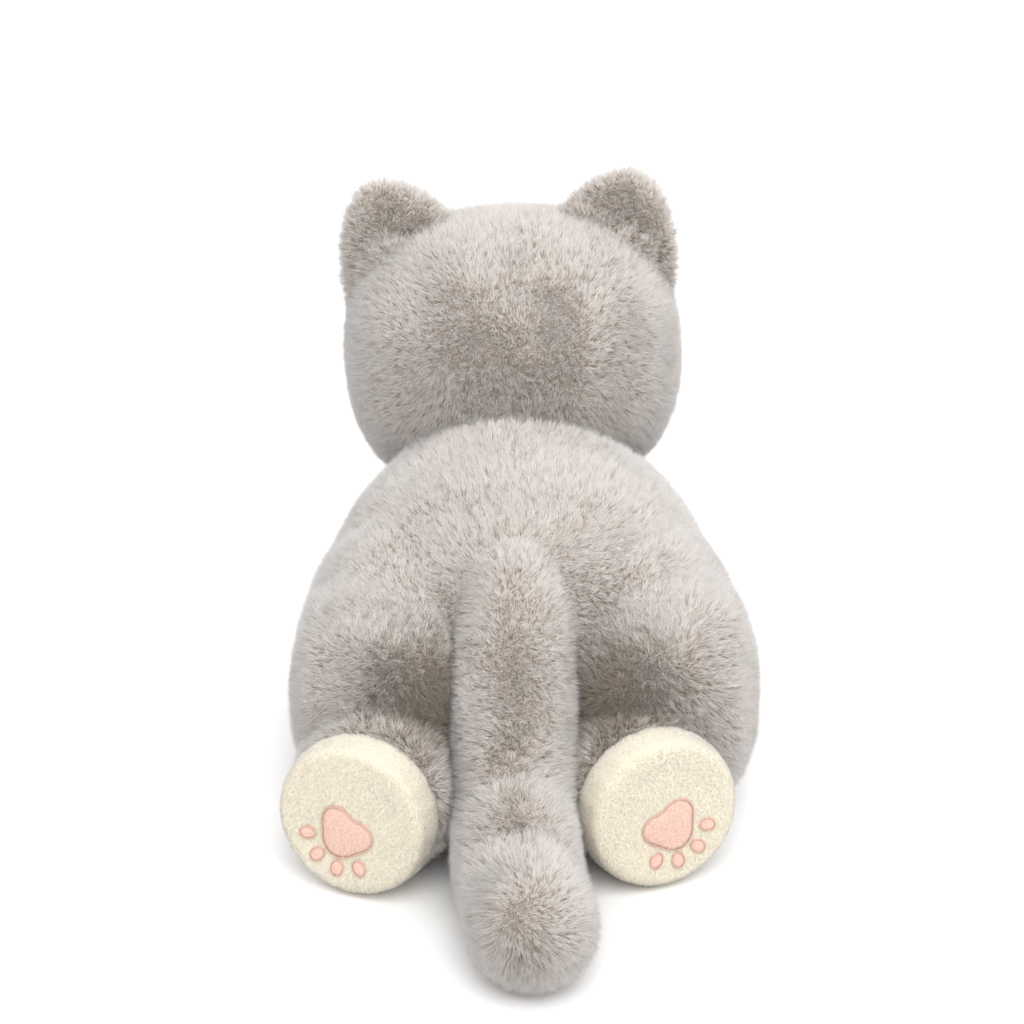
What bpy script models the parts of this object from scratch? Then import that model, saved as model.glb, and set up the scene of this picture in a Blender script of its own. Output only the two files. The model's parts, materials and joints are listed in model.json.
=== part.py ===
"""Plush cat lying on its belly: fur panels, filling, plastic eyes and nose, minky feet and sewn pads.

Metres, +Z up. The origin is on the floor under the middle of the body. The cat faces -Y, its tail and
the soles of its hind feet point to +Y, and its own left side is +X.
"""

import math

import bmesh
import bpy
from mathutils import Matrix, Vector
from mathutils.geometry import interpolate_bezier

# Cloth and clearances
CLOTH = 0.0025          # backing cloth of the fur with its dense underfur
GAP = 0.0003            # between sewn neighbours
FILL_GAP = 0.0018       # between cloth and filling
JOINT_GAP = 0.0015      # between pieces that turn against each other

# Body: an egg that is cut flat where it rests on the floor, sagging a little to its right
BODY_CENTRE = Vector((-0.003, -0.016, 0.080))
BODY_HALF = Vector((0.098, 0.116, 0.080))
BODY_DROP = 0.090       # half height below the centre, before the flat cut
SHOULDER_RISE = 0.012   # how much higher the back is at the neck than in the middle
BELLY_SEAM = 0.030      # height of the seam between belly and side panels
CHEST_SEAM = -0.102     # in front of this the belly panel runs up the chest
RUMP_END = 0.066        # the body stops here, under the tail

# Head, its neck and its roll to one side
HEAD_CENTRE = Vector((0.001, -0.130, 0.181))
HEAD_HALF = Vector((0.0855, 0.072, 0.076))
HEAD_FULLNESS = 2.6     # exponent of its outline: 2 is an ellipse, more is boxier
HEAD_ROLL = math.radians(2.7)
GUSSET_HALF = 0.020     # half width of the strip over the middle of the head
NECK_PIVOT = Vector((0.001, -0.098, 0.158))
NECK_BALL = 0.026
NECK_STEM = 0.018
NECK_FOOT = 0.060       # height of the lower end of the neck filling
HEAD_ROOM = Vector((0.102, 0.087, 0.092))
NECK_SWING = math.radians(16)

# Ears, in the head's own frame
EAR_FOOT = Vector((0.0530, -0.004, 0.0450))
EAR_HALF = Vector((0.0390, 0.0085, 0.0610))
EAR_TAPER = 0.22        # share of its width that an ear loses towards the tip
EAR_LEAN = math.radians(20)
EAR_GAP = 0.003
EAR_DISH_CENTRE = Vector((0, -0.0095, 0.010))
EAR_DISH_HALF = Vector((0.027, 0.0065, 0.040))

# Face, in the head's own frame
EYE_SIDE = 0.034
EYE_HEIGHT = 0.006
EYE_RADIUS = 0.0088
MUZZLE_CENTRE = Vector((0, -0.0685, -0.022))
MUZZLE_HALF = Vector((0.034, 0.021, 0.023))
NOSE_HEIGHT = 0.011     # above the muzzle's centre
NOSE_RADIUS = 0.0070
STEM_RADIUS = 0.0022    # of an eye or the nose, through the cloth into its washer
WASHER_DEPTH = 0.0052
WASHER_THICKNESS = 0.0015

# Front legs
SHOULDER = Vector((0.060, -0.062, 0.056))
SHOULDER_HALF = Vector((0.032, 0.050, 0.050))
WRIST = Vector((0.048, -0.172, 0.031))
FORELEG_RADIUS = 0.027
FORELEG_START = Vector((0.060, -0.075, 0.050))
FORELEG_BEND = 0.035    # length of the handles of the curve from start to wrist
FORE_SHIFT = 0.003      # both front legs sit this far to the cat's left
PAW_END = 0.042         # length of the cream paw beyond the wrist
PAW_WAIST = 0.014       # beyond the wrist, where the paw is thickest
PAW_BULGE = 1.08        # its radius there, in wrists
PAW_FILLING = 0.016     # how far the leg's filling goes on into the paw
FORELEG_ROOM = 0.092    # the chest is narrow below this height, between the front legs
FORELEG_BACK = -0.074   # and in front of this
CHEST_HALF = 0.016

# Hind legs
HAUNCH = Vector((0.070, 0.052, 0.0625))
HAUNCH_HALF = Vector((0.045, 0.060, 0.060))
LEG_FULLNESS = 3.0
HIND_LEG_ROOM = 0.100   # the body is cut away for the lower hind legs up to this height
HIP_SHIFT = -0.004      # both haunches sag this far to the cat's right
THIGH_START = Vector((0.0715, 0.052, 0.050))
THIGH_BEND = 0.022      # length of the handles of the curve from start to foot
THIGH_RADIUS = 0.0340
LEG_OVERLAP = 0.004     # how far a leg's hollow runs out of its open end
SOLE = Vector((0.0795, 0.150, 0.0430))
FOOT_SHIFT = 0.0035     # both feet lie this far to the cat's left
FOOT_STAGGER = 0.0035   # and the left one this far back, the right one forward
SOLE_TURN = math.radians(22)    # how far the sole faces outwards
SOLE_RISE = math.radians(6)     # how far it faces up
SOLE_RADIUS = 0.0340
FOOT_RADIUS = 0.0370
CAP_RADIUS = 0.0410
CAP_LENGTH = 0.022
CAP_WALL = 0.0022
SOLE_THICKNESS = 0.0022
SOLE_CROWN = 0.0006

# Foot pads, in the plane of the sole
PAD_OFFSET = 0.0078     # main pad's centre from the sole's centre
PAD_HALF = (0.0135, 0.0125)
PAD_THICKNESS = 0.0014
PAD_POINTS_OUT = math.radians(26)   # from straight down
TOE_RING = 0.0195       # toe centres from the main pad's centre
TOE_SPREAD = (-55, -18.5, 18.5, 55)
TOE_HALF = (0.0036, 0.0044)

# Tail
TAIL_ROOT = Vector((0, 0.055, 0.120))
TAIL_CREST = Vector((0, 0.100, 0.112))      # handles of the curve from root to kink
TAIL_LANDING = Vector((0, 0.122, 0.030))
TAIL_KINK = Vector((0, 0.165, 0.030))
TAIL_END = Vector((-0.0085, 0.2240, 0.030))
TAIL_RADIUS = 0.026
TAIL_MOUTH = 0.012      # the hole in the tip's round first end, which its filling goes in by
TAIL_SLOT = 0.034       # half width of the slot in the body behind the tail's root
TAIL_SLOT_START = 0.053
TAIL_SLOT_FLOOR = 0.060

UP = Vector((0, 0, 1))
REACH = 0.3             # further out than any part of the cat, for cutters


# Scene, materials and small helpers

def clear_scene():
    for obj in list(bpy.data.objects):
        bpy.data.objects.remove(obj, do_unlink=True)


def new_collection(name):
    group = bpy.data.collections.new(name)
    bpy.context.scene.collection.children.link(group)
    return group


clear_scene()
PARTS = new_collection("plush_cat")
CUTTERS = new_collection("cutters")


def material(name, colour, roughness, metallic=0.0):
    mat = bpy.data.materials.new(name)
    mat.use_nodes = True
    shader = mat.node_tree.nodes["Principled BSDF"]
    shader.inputs["Base Color"].default_value = (*colour, 1.0)
    shader.inputs["Roughness"].default_value = roughness
    shader.inputs["Metallic"].default_value = metallic
    mat.diffuse_color = (*colour, 1.0)
    return mat


FUR = material("warm_grey_fur", (0.60, 0.55, 0.51), 0.95)
MINKY = material("cream_minky", (0.83, 0.77, 0.62), 0.9)
PINK = material("pink_pad_cloth", (0.78, 0.52, 0.43), 0.85)
LINING = material("ear_lining_plush", (0.72, 0.56, 0.50), 0.9)
FILLING = material("white_polyester_filling", (0.85, 0.85, 0.83), 0.95)
EYE_PLASTIC = material("dark_eye_plastic", (0.02, 0.015, 0.01), 0.08)
WASHER_PLASTIC = material("washer_plastic", (0.75, 0.75, 0.73), 0.4)


def add_object(name, bm, mat=None, parent=None):
    """A node when it has a material, otherwise a cutter that stays out of the model."""
    mesh = bpy.data.meshes.new(name)
    bm.to_mesh(mesh)
    bm.free()
    mesh.shade_smooth()
    obj = bpy.data.objects.new(name, mesh)
    obj.parent = parent
    if mat:
        mesh.materials.append(mat)
        PARTS.objects.link(obj)
    else:
        CUTTERS.objects.link(obj)
        obj.hide_render = True
        obj.display_type = "WIRE"
    return obj


def boolean(target, cutter, operation="DIFFERENCE"):
    step = target.modifiers.new(cutter.name, "BOOLEAN")
    step.operation = operation
    step.solver = "EXACT"
    step.object = cutter


def cut(target, *cutters):
    for cutter in cutters:
        boolean(target, cutter)


def mirrored(point, side):
    return Vector((side * point[0], point[1], point[2]))


SIDES = (("left", 1), ("right", -1))


# Forms

def face_out(bm):
    bmesh.ops.recalc_face_normals(bm, faces=bm.faces)
    if bm.calc_volume(signed=True) < 0:
        bmesh.ops.reverse_faces(bm, faces=bm.faces)


def sphere_points(bm, pole):
    turns = {"X": Matrix.Rotation(math.pi / 2, 3, "Y"), "Y": Matrix.Rotation(-math.pi / 2, 3, "X")}
    turn = turns.get(pole, Matrix.Identity(3))
    for vert in bm.verts:
        vert.co = turn @ vert.co


def ellipsoid(name, centre, half, mat=None, pole="Z", detail=(20, 12), warp=None, parent=None):
    """A closed ellipsoid with its poles on one axis. warp reshapes the points of the unit sphere."""
    bm = bmesh.new()
    bmesh.ops.create_uvsphere(bm, u_segments=detail[0], v_segments=detail[1], radius=1.0)
    sphere_points(bm, pole)
    for vert in bm.verts:
        point = warp(vert.co) if warp else vert.co
        vert.co = Vector(a * b for a, b in zip(point, half))
    face_out(bm)
    obj = add_object(name, bm, mat, parent)
    obj.location = centre
    return obj


def boxy(point, fullness):
    """Moves a point of the unit sphere out to a fuller form that is still round about the X axis."""
    around = math.hypot(point.y, point.z)
    return point / (abs(point.x) ** fullness + around ** fullness) ** (1 / fullness)


def leg_warp(point):
    return boxy(point, LEG_FULLNESS)


def head_warp(point):
    return boxy(point, HEAD_FULLNESS)


def block(name, low, high, mat=None, parent=None):
    bm = bmesh.new()
    bmesh.ops.create_cube(bm, size=1.0)
    for vert in bm.verts:
        vert.co = Vector(a + (b - a) * (c + 0.5) for a, b, c in zip(low, high, vert.co))
    return add_object(name, bm, mat, parent)


def tube(name, stations, mat=None, sides=16, parent=None):
    """A loft of circles, each a (centre, direction, radius). A radius of zero closes an end to a point."""
    bm = bmesh.new()
    rings = []
    for centre, direction, radius in stations:
        if radius == 0:
            rings.append([bm.verts.new(centre)])
            continue
        across = direction.cross(UP).normalized()
        rise = across.cross(direction).normalized()
        angles = [2 * math.pi * i / sides for i in range(sides)]
        rings.append([
            bm.verts.new(centre + radius * (math.cos(a) * across + math.sin(a) * rise)) for a in angles
        ])
    for first, second in zip(rings, rings[1:]):
        for i in range(sides):
            j = (i + 1) % sides
            corners = [first[i % len(first)], first[j % len(first)], second[j % len(second)],
                       second[i % len(second)]]
            bm.faces.new(list(dict.fromkeys(corners)))
    for end in (rings[0], rings[-1]):
        if len(end) > 1:
            bm.faces.new(end)
    face_out(bm)
    return add_object(name, bm, mat, parent)


def directions(points):
    """The direction of a line of points at each of them."""
    last = len(points) - 1
    return [(points[min(i + 1, last)] - points[max(i - 1, 0)]).normalized() for i in range(last + 1)]


def round_end(centre, direction, radius, steps=3, opening=False):
    """Stations of a half ball on the end of a tube; opening reverses it, for a tube's first end."""
    stations = []
    for i in range(1, steps + 1):
        angle = math.pi / 2 * i / steps
        size = radius * math.cos(angle) if i < steps else 0
        stations.append((centre + direction * radius * math.sin(angle), direction, size))
    if opening:
        stations = [(2 * centre - place, way, size) for place, way, size in reversed(stations)]
    return stations


def turned(name, profile, place, axis, mat=None, steps=20, closed=False, parent=None):
    """A body turned about an axis from (radius, height) points that run down its outer side."""
    bm = bmesh.new()
    verts = [bm.verts.new((radius, 0, height)) for radius, height in profile]
    for first, second in zip(verts, verts[1:]):
        bm.edges.new((first, second))
    if closed:
        bm.edges.new((verts[-1], verts[0]))
    obj = add_object(name, bm, mat, parent)
    screw = obj.modifiers.new("turn", "SCREW")
    screw.axis = "Z"
    screw.steps = steps
    screw.render_steps = steps
    screw.use_merge_vertices = True
    screw.merge_threshold = 0.00001
    obj.rotation_mode = "QUATERNION"
    obj.rotation_quaternion = axis.to_track_quat("Z", "Y")
    obj.location = place
    return obj


def rod(name, place, axis, radius, low, high, mat=None, steps=20, parent=None):
    """A round rod along an axis, from low to high beyond its place."""
    profile = [(0, high), (radius, high), (radius, low), (0, low)]
    return turned(name, profile, place, axis, mat, steps, parent=parent)


# Legs: forms first, because the body is cut to make room for them

def foot_frame(side):
    """Outward normal, upward and sideways axes of a sole."""
    flat = math.cos(SOLE_RISE)
    normal = Vector((side * math.sin(SOLE_TURN) * flat, math.cos(SOLE_TURN) * flat, math.sin(SOLE_RISE)))
    across = UP.cross(normal).normalized() * -side
    return normal, normal.cross(across).normalized() * -side, across


def haunch_centre(side):
    return mirrored(HAUNCH, side) + Vector((HIP_SHIFT, 0, 0))


def sole_centre(side):
    return mirrored(SOLE, side) + Vector((FOOT_SHIFT, side * FOOT_STAGGER, 0))


def fore(point, side):
    """A point of one front leg, from its place on a leg in the middle of its range."""
    return mirrored(point, side) + Vector((FORE_SHIFT, 0, 0))


def hind_path(side, beyond):
    """Centre line of the lower hind leg to the foot cap's edge, and a length beyond it."""
    normal = foot_frame(side)[0]
    start = mirrored(THIGH_START, side)
    end = sole_centre(side) - normal * (CAP_LENGTH + GAP)
    leave = start + Vector((0, THIGH_BEND, -0.002))
    path = interpolate_bezier(start, leave, end - normal * THIGH_BEND, end, 5)
    return path + [end + normal * beyond] if beyond else path


def foreleg_path(side, beyond):
    """Centre line of a front leg from the shoulder to the wrist, and a length beyond it."""
    start = fore(FORELEG_START, side)
    end = fore(WRIST, side)
    leave = start + Vector((0, -FORELEG_BEND, -0.006))
    path = interpolate_bezier(start, leave, end + Vector((0, FORELEG_BEND, 0)), end, 5)
    return path + [end - Vector((0, beyond, 0))] if beyond else path


def leg_form(name, upper, path, end_way, radii, detail):
    """Joins a tube along a path to the upper leg, and closes it square to end_way."""
    ways = directions(path)
    ways[-1] = end_way
    boolean(upper, tube(name + "_lower_leg", list(zip(path, ways, radii)), sides=detail[0]), "UNION")
    return upper


def hind_form(name, side, inset, beyond, mat=None, detail=(14, 8)):
    """Haunch and lower leg as one closed form, inset from its outside."""
    half = HAUNCH_HALF - Vector((inset,) * 3)
    haunch = ellipsoid(name, haunch_centre(side), half, mat, "X", detail, leg_warp)
    path = hind_path(side, beyond)
    growth = FOOT_RADIUS - THIGH_RADIUS
    radii = [THIGH_RADIUS + growth * min(i / 4, 1) - inset for i in range(len(path))]
    return leg_form(name, haunch, path, foot_frame(side)[0], radii, detail)


def foreleg_form(name, side, inset, beyond, mat=None, detail=(14, 8)):
    half = SHOULDER_HALF - Vector((inset,) * 3)
    shoulder = ellipsoid(name, fore(SHOULDER, side), half, mat, "X", detail)
    path = foreleg_path(side, beyond)
    return leg_form(name, shoulder, path, Vector((0, -1, 0)), [FORELEG_RADIUS - inset] * len(path), detail)


def leg_room(side, word):
    """Cutters that leave room in the body for one side's legs, at rest and lifted."""
    inner, outer = sorted((side * TAIL_SLOT, side * REACH))
    hind = block("hind_leg_room_" + word, (inner, HAUNCH.y, -REACH), (outer, REACH, HIND_LEG_ROOM))
    inner, outer = sorted((side * CHEST_HALF, side * REACH))
    front = block("foreleg_room_" + word, (inner, -REACH, -REACH), (outer, FORELEG_BACK, FORELEG_ROOM))
    grown = HAUNCH_HALF + Vector((JOINT_GAP,) * 3)
    haunch = ellipsoid("haunch_room_" + word, haunch_centre(side), grown, None, "X", (20, 12), leg_warp)
    grown = SHOULDER_HALF + Vector((JOINT_GAP,) * 3)
    shoulder = ellipsoid("shoulder_room_" + word, fore(SHOULDER, side), grown, None, "X", (16, 10))
    return [haunch, shoulder, hind, front]


# Tail forms

def tail_base_stations(radius):
    path = interpolate_bezier(TAIL_ROOT, TAIL_CREST, TAIL_LANDING, TAIL_KINK, 8)
    way = directions(path)
    way[0] = (TAIL_CREST - TAIL_ROOT).normalized()
    way[-1] = Vector((0, 1, 0))
    return round_end(TAIL_ROOT, way[0], radius, opening=True) + [(p, d, radius) for p, d in zip(path, way)]


def tail_tip_stations(radius):
    way = (TAIL_END - TAIL_KINK).normalized()
    middle = TAIL_KINK.lerp(TAIL_END, 0.5)
    return (round_end(TAIL_KINK, way, radius, opening=True)
            + [(TAIL_KINK, way, radius), (middle, way, radius), (TAIL_END, way, radius)]
            + round_end(TAIL_END, way, radius))


# Body

def body_warp(point):
    """The back rises a little towards the neck, and the underside is deeper than the back is high."""
    if point.z < 0:
        return Vector((point.x, point.y, point.z * BODY_DROP / BODY_HALF.z))
    return Vector((point.x, point.y, point.z * (1 - point.y * SHOULDER_RISE / BODY_HALF.z)))


def body_form(name, inset, mat=None, detail=(24, 14)):
    half = BODY_HALF - Vector((inset,) * 3)
    return ellipsoid(name, BODY_CENTRE, half, mat, "Y", detail, body_warp)


def body_room():
    """Cutters on the body's middle: head, neck, tail and the end of the rump."""
    head = ellipsoid("head_room", HEAD_CENTRE, HEAD_ROOM, None, "X", (20, 12), head_warp)
    depth = NECK_PIVOT.z - NECK_FOOT + JOINT_GAP * 2
    neck = rod("neck_room", NECK_PIVOT, UP, NECK_STEM + JOINT_GAP, -depth, 0.0)
    tail = ellipsoid("tail_room", TAIL_ROOT, Vector((TAIL_RADIUS + JOINT_GAP,) * 3), None, "X", (16, 10))
    slot = block("tail_slot", (-TAIL_SLOT, TAIL_SLOT_START, TAIL_SLOT_FLOOR), (TAIL_SLOT, REACH, REACH))
    rump = block("rump_end", (-REACH, RUMP_END, -REACH), (REACH, REACH, REACH))
    return {"head": head, "neck": neck, "tail": tail, "slot": slot, "rump": rump}


def below(name, height):
    return block(name, (-REACH, -REACH, -REACH), (REACH, REACH, height))


def make_body():
    rooms = {word: leg_room(side, word) for word, side in SIDES}
    room = body_room()
    hollow = body_form("body_hollow", CLOTH)
    cut(hollow, below("inner_floor", CLOTH))
    for word, side in SIDES:
        panel = body_form("body_side_panel_" + word, 0, FUR)
        inner, outer = sorted((side * GAP / 2, side * REACH))
        low = Vector((inner, CHEST_SEAM + GAP, BELLY_SEAM + GAP))
        boolean(panel, block("side_region_" + word, low, (outer, REACH, REACH)), "INTERSECT")
        cut(panel, hollow, *room.values(), *rooms[word])
    belly = body_form("belly_panel", 0, FUR)
    region = block("belly_region", (-REACH, -REACH, 0), (REACH, REACH, BELLY_SEAM))
    low = (-REACH / 2, -REACH / 2, BELLY_SEAM / 2)
    chest = block("chest_region", low, (REACH / 2, CHEST_SEAM, FORELEG_ROOM))
    boolean(region, chest, "UNION")
    boolean(belly, region, "INTERSECT")
    cut(belly, hollow, room["head"], room["rump"], *rooms["left"], *rooms["right"])
    filling = body_form("body_stuffing", CLOTH + FILL_GAP, FILLING, (18, 12))
    cut(filling, below("filling_floor", CLOTH + FILL_GAP), *room.values(), *rooms["left"], *rooms["right"])


# Neck and head

def make_neck():
    steps = 6
    foot = NECK_FOOT - NECK_PIVOT.z
    meet = math.acos(NECK_STEM / NECK_BALL)
    angles = [math.pi / 2 - (math.pi / 2 + meet) * i / steps for i in range(steps + 1)]
    profile = [(NECK_BALL * math.cos(a), NECK_BALL * math.sin(a)) for a in angles]
    profile[0] = (0, NECK_BALL)
    turned("neck_stuffing", profile + [(NECK_STEM, foot), (0, foot)], NECK_PIVOT, UP, FILLING)


def head_frame():
    frame = bpy.data.objects.new("head_frame", None)
    PARTS.objects.link(frame)
    frame.location = HEAD_CENTRE
    frame.rotation_euler = (0, HEAD_ROLL, 0)
    return frame


def head_form(name, inset, mat=None, detail=(22, 14), frame=None):
    return ellipsoid(name, (0, 0, 0), HEAD_HALF - Vector((inset,) * 3), mat, "X", detail, head_warp, frame)


def neck_opening():
    """Cutters for the neck's way into the head: a cone that widens downwards for the nod, and a socket."""
    depth = HEAD_HALF.z
    lower = NECK_STEM + JOINT_GAP + depth * math.tan(NECK_SWING)
    profile = [(0, 0), (NECK_STEM + JOINT_GAP, 0), (lower, -depth), (0, -depth)]
    cone = turned("neck_cone", profile, NECK_PIVOT, UP)
    return cone, ellipsoid("neck_socket", NECK_PIVOT, Vector((NECK_BALL + JOINT_GAP,) * 3))


def fitting(name, place, normal, radius, frame, mat):
    """A plastic dome on a stem, its washer, and the cutters for both: (stem hole, washer pocket)."""
    low = -WASHER_DEPTH - WASHER_THICKNESS
    end = low - STEM_RADIUS
    steps = 4
    angles = [math.pi / 2 * i / steps for i in range(steps + 1)]
    dome = [(radius * math.sin(angle), radius * 0.6 * math.cos(angle)) for angle in angles]
    stem = [(STEM_RADIUS, 0), (STEM_RADIUS, end), (0, end)]
    turned(name, dome + stem, place, normal, mat, 14, parent=frame)
    inner, outer = STEM_RADIUS + GAP / 2, radius * 0.85
    ring = [(inner, -WASHER_DEPTH), (outer, -WASHER_DEPTH), (outer, low), (inner, low)]
    turned(name + "_washer", ring, place, normal, WASHER_PLASTIC, 14, closed=True, parent=frame)
    hole = rod(name + "_hole", place, normal, STEM_RADIUS + GAP, end - GAP, radius, parent=frame)
    top = FILL_GAP - WASHER_DEPTH
    return hole, rod(name + "_pocket", place, normal, outer + GAP, end - GAP, top, parent=frame)


def head_surface(x, z):
    """Point and outward normal on the front of the head, in its own frame."""
    def front(x, z):
        around = (1 - abs(x / HEAD_HALF.x) ** HEAD_FULLNESS) ** (1 / HEAD_FULLNESS)
        return Vector((x, -HEAD_HALF.y * math.sqrt(around ** 2 - (z / HEAD_HALF.z) ** 2), z))

    step = 0.001
    place = front(x, z)
    return place, (front(x + step, z) - place).cross(front(x, z + step) - place).normalized()


def make_head(frame):
    hollow = head_form("head_hollow", CLOTH, frame=frame)
    opening, socket = neck_opening()
    filling = head_form("head_stuffing", CLOTH + FILL_GAP, FILLING, (16, 10), frame)
    cut(filling, opening, socket)
    gusset = head_form("head_gusset", 0, FUR, frame=frame)
    half = GUSSET_HALF - GAP / 2
    region = block("gusset_region", (-half, -REACH, -REACH), (half, REACH, REACH), parent=frame)
    boolean(gusset, region, "INTERSECT")
    cut(gusset, hollow, opening)
    for word, side in SIDES:
        place, normal = head_surface(side * EYE_SIDE, EYE_HEIGHT)
        seat = place + normal * GAP * 3
        hole, pocket = fitting("eye_" + word, seat, normal, EYE_RADIUS, frame, EYE_PLASTIC)
        panel = head_form("head_side_panel_" + word, 0, FUR, frame=frame)
        inner, outer = sorted((side * (GUSSET_HALF + GAP / 2), side * REACH))
        region = block("head_region_" + word, (inner, -REACH, -REACH), (outer, REACH, REACH), parent=frame)
        boolean(panel, region, "INTERSECT")
        cut(panel, hollow, opening, hole)
        cut(filling, pocket)


def make_muzzle(frame):
    half = MUZZLE_HALF
    panel = ellipsoid("muzzle_panel", MUZZLE_CENTRE, half, MINKY, "Y", (14, 8), parent=frame)
    hollow = ellipsoid("muzzle_hollow", MUZZLE_CENTRE, half - Vector((CLOTH,) * 3), None, "Y", (14, 8),
                       parent=frame)
    inset = Vector((CLOTH + FILL_GAP,) * 3)
    filling = ellipsoid("muzzle_stuffing", MUZZLE_CENTRE, half - inset, FILLING, "Y", (12, 6), parent=frame)
    head = head_form("head_under_muzzle", -GAP * 4, detail=(18, 12), frame=frame)
    depth = half.y * math.sqrt(1 - (NOSE_HEIGHT / half.z) ** 2)
    place = MUZZLE_CENTRE + Vector((0, -depth - GAP * 3, NOSE_HEIGHT))
    normal = Vector((0, -depth / half.y ** 2, NOSE_HEIGHT / half.z ** 2)).normalized()
    hole, pocket = fitting("nose", place, normal, NOSE_RADIUS, frame, PINK)
    cut(panel, hollow, head, hole)
    cut(filling, head, pocket)


def ear_warp(point):
    """Narrows towards the tip."""
    taper = 1 - EAR_TAPER * max(point.z, 0)
    return Vector((point.x * taper, point.y * taper, point.z))


def make_ears(frame):
    for word, side in SIDES:
        lean = bpy.data.objects.new("ear_frame_" + word, None)
        PARTS.objects.link(lean)
        lean.parent = frame
        lean.location = mirrored(EAR_FOOT, side)
        lean.rotation_euler = (0, side * EAR_LEAN, 0)
        head = head_form("head_under_ear_" + word, -EAR_GAP, frame=frame)
        for piece, way, mat in (("ear_back_", 1, FUR), ("ear_lining_", -1, LINING)):
            ear = ellipsoid(piece + word, (0, 0, 0), EAR_HALF, mat, "Z", (16, 12), ear_warp, lean)
            near, far = sorted((way * GAP / 2, way * REACH))
            region = block(piece + "region_" + word, (-REACH, near, -REACH), (REACH, far, REACH), parent=lean)
            boolean(ear, region, "INTERSECT")
            cut(ear, head)
        cut(ear, ellipsoid("ear_dish_" + word, EAR_DISH_CENTRE, EAR_DISH_HALF, parent=lean))


# Legs

def make_hind_leg(word, side):
    normal, rise, across = foot_frame(side)
    sole = sole_centre(side)
    skin = hind_form("hind_leg_skin_" + word, side, 0, 0, FUR)
    cut(skin, hind_form("hind_leg_hollow_" + word, side, CLOTH, LEG_OVERLAP))
    filling_end = CAP_LENGTH - SOLE_THICKNESS - GAP * 3
    hind_form("hind_leg_stuffing_" + word, side, CLOTH + FILL_GAP, filling_end, FILLING, (12, 8))
    rim = SOLE_RADIUS + GAP * 4
    outer = [(rim, 0), (rim + 0.0040, -0.0012), (CAP_RADIUS - 0.0008, -0.0065), (CAP_RADIUS, -0.0120),
             (CAP_RADIUS - 0.0006, -0.0190), (FOOT_RADIUS, -CAP_LENGTH)]
    inner = [(radius - CAP_WALL, height) for radius, height in reversed(outer[2:])]
    inner.append((rim, -0.0030))
    turned("hind_foot_cap_" + word, outer + inner, sole, normal, MINKY, 20, closed=True)
    crown = [(0, SOLE_CROWN), (SOLE_RADIUS - 0.004, SOLE_CROWN - 0.0002), (SOLE_RADIUS, -SOLE_CROWN)]
    under = [(SOLE_RADIUS, -SOLE_THICKNESS), (0, -SOLE_THICKNESS)]
    turned("hind_sole_" + word, crown + under, sole, normal, MINKY, 20)
    make_pads(word, side, sole, normal, rise, across)


def pad_warp(point):
    """A rounded triangle that is broad at the top and narrow at the bottom."""
    return Vector((point.x * (1 + 0.25 * point.y), point.y, point.z))


def make_pads(word, side, sole, normal, rise, across):
    """Main pad and four toe pads, side by side on the sole, pointing down and outwards."""
    point_way = -rise * math.cos(PAD_POINTS_OUT) + across * math.sin(PAD_POINTS_OUT)
    side_way = normal.cross(point_way)
    centre = sole + normal * (SOLE_CROWN + GAP + PAD_THICKNESS / 2) + point_way * PAD_OFFSET

    def place(obj, spot, down):
        turn = Matrix((normal.cross(down), -down, normal)).transposed()
        obj.matrix_world = Matrix.Translation(spot) @ turn.to_4x4()

    half = Vector((*PAD_HALF, PAD_THICKNESS / 2))
    pad = ellipsoid("hind_main_pad_" + word, (0, 0, 0), half, PINK, "Z", (14, 4), pad_warp)
    place(pad, centre, point_way)
    for number, degrees in enumerate(TOE_SPREAD, 1):
        angle = math.radians(degrees)
        way = point_way * math.cos(angle) + side_way * math.sin(angle)
        half = Vector((*TOE_HALF, PAD_THICKNESS / 2))
        toe = ellipsoid(f"hind_toe_pad_{word}_{number}", (0, 0, 0), half, PINK, "Z", (10, 4))
        place(toe, centre + way * TOE_RING, way)


def paw(name, side, inset, back, mat=None):
    """A tube from the wrist, thickest at the paw's waist, that closes round at the toes."""
    ahead = Vector((0, -1, 0))
    wrist = fore(WRIST, side)
    waist = wrist + ahead * PAW_WAIST
    radius = FORELEG_RADIUS - inset
    stations = [(wrist - ahead * back, ahead, radius), (waist, ahead, radius * PAW_BULGE)]
    length = PAW_END - PAW_WAIST - inset
    steps = 4
    for i in range(1, steps + 1):
        angle = math.pi / 2 * i / steps
        size = radius * PAW_BULGE * math.cos(angle) if i < steps else 0
        stations.append((waist + ahead * length * math.sin(angle), ahead, size))
    return tube(name, stations, mat)


def make_foreleg(word, side):
    skin = foreleg_form("foreleg_skin_" + word, side, 0, 0, FUR)
    cut(skin, foreleg_form("foreleg_hollow_" + word, side, CLOTH, LEG_OVERLAP))
    foreleg_form("foreleg_stuffing_" + word, side, CLOTH + FILL_GAP, PAW_FILLING, FILLING, (12, 8))
    cap = paw("front_paw_cap_" + word, side, 0, -GAP, MINKY)
    cut(cap, paw("front_paw_hollow_" + word, side, CLOTH, LEG_OVERLAP))


# Tail

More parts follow.
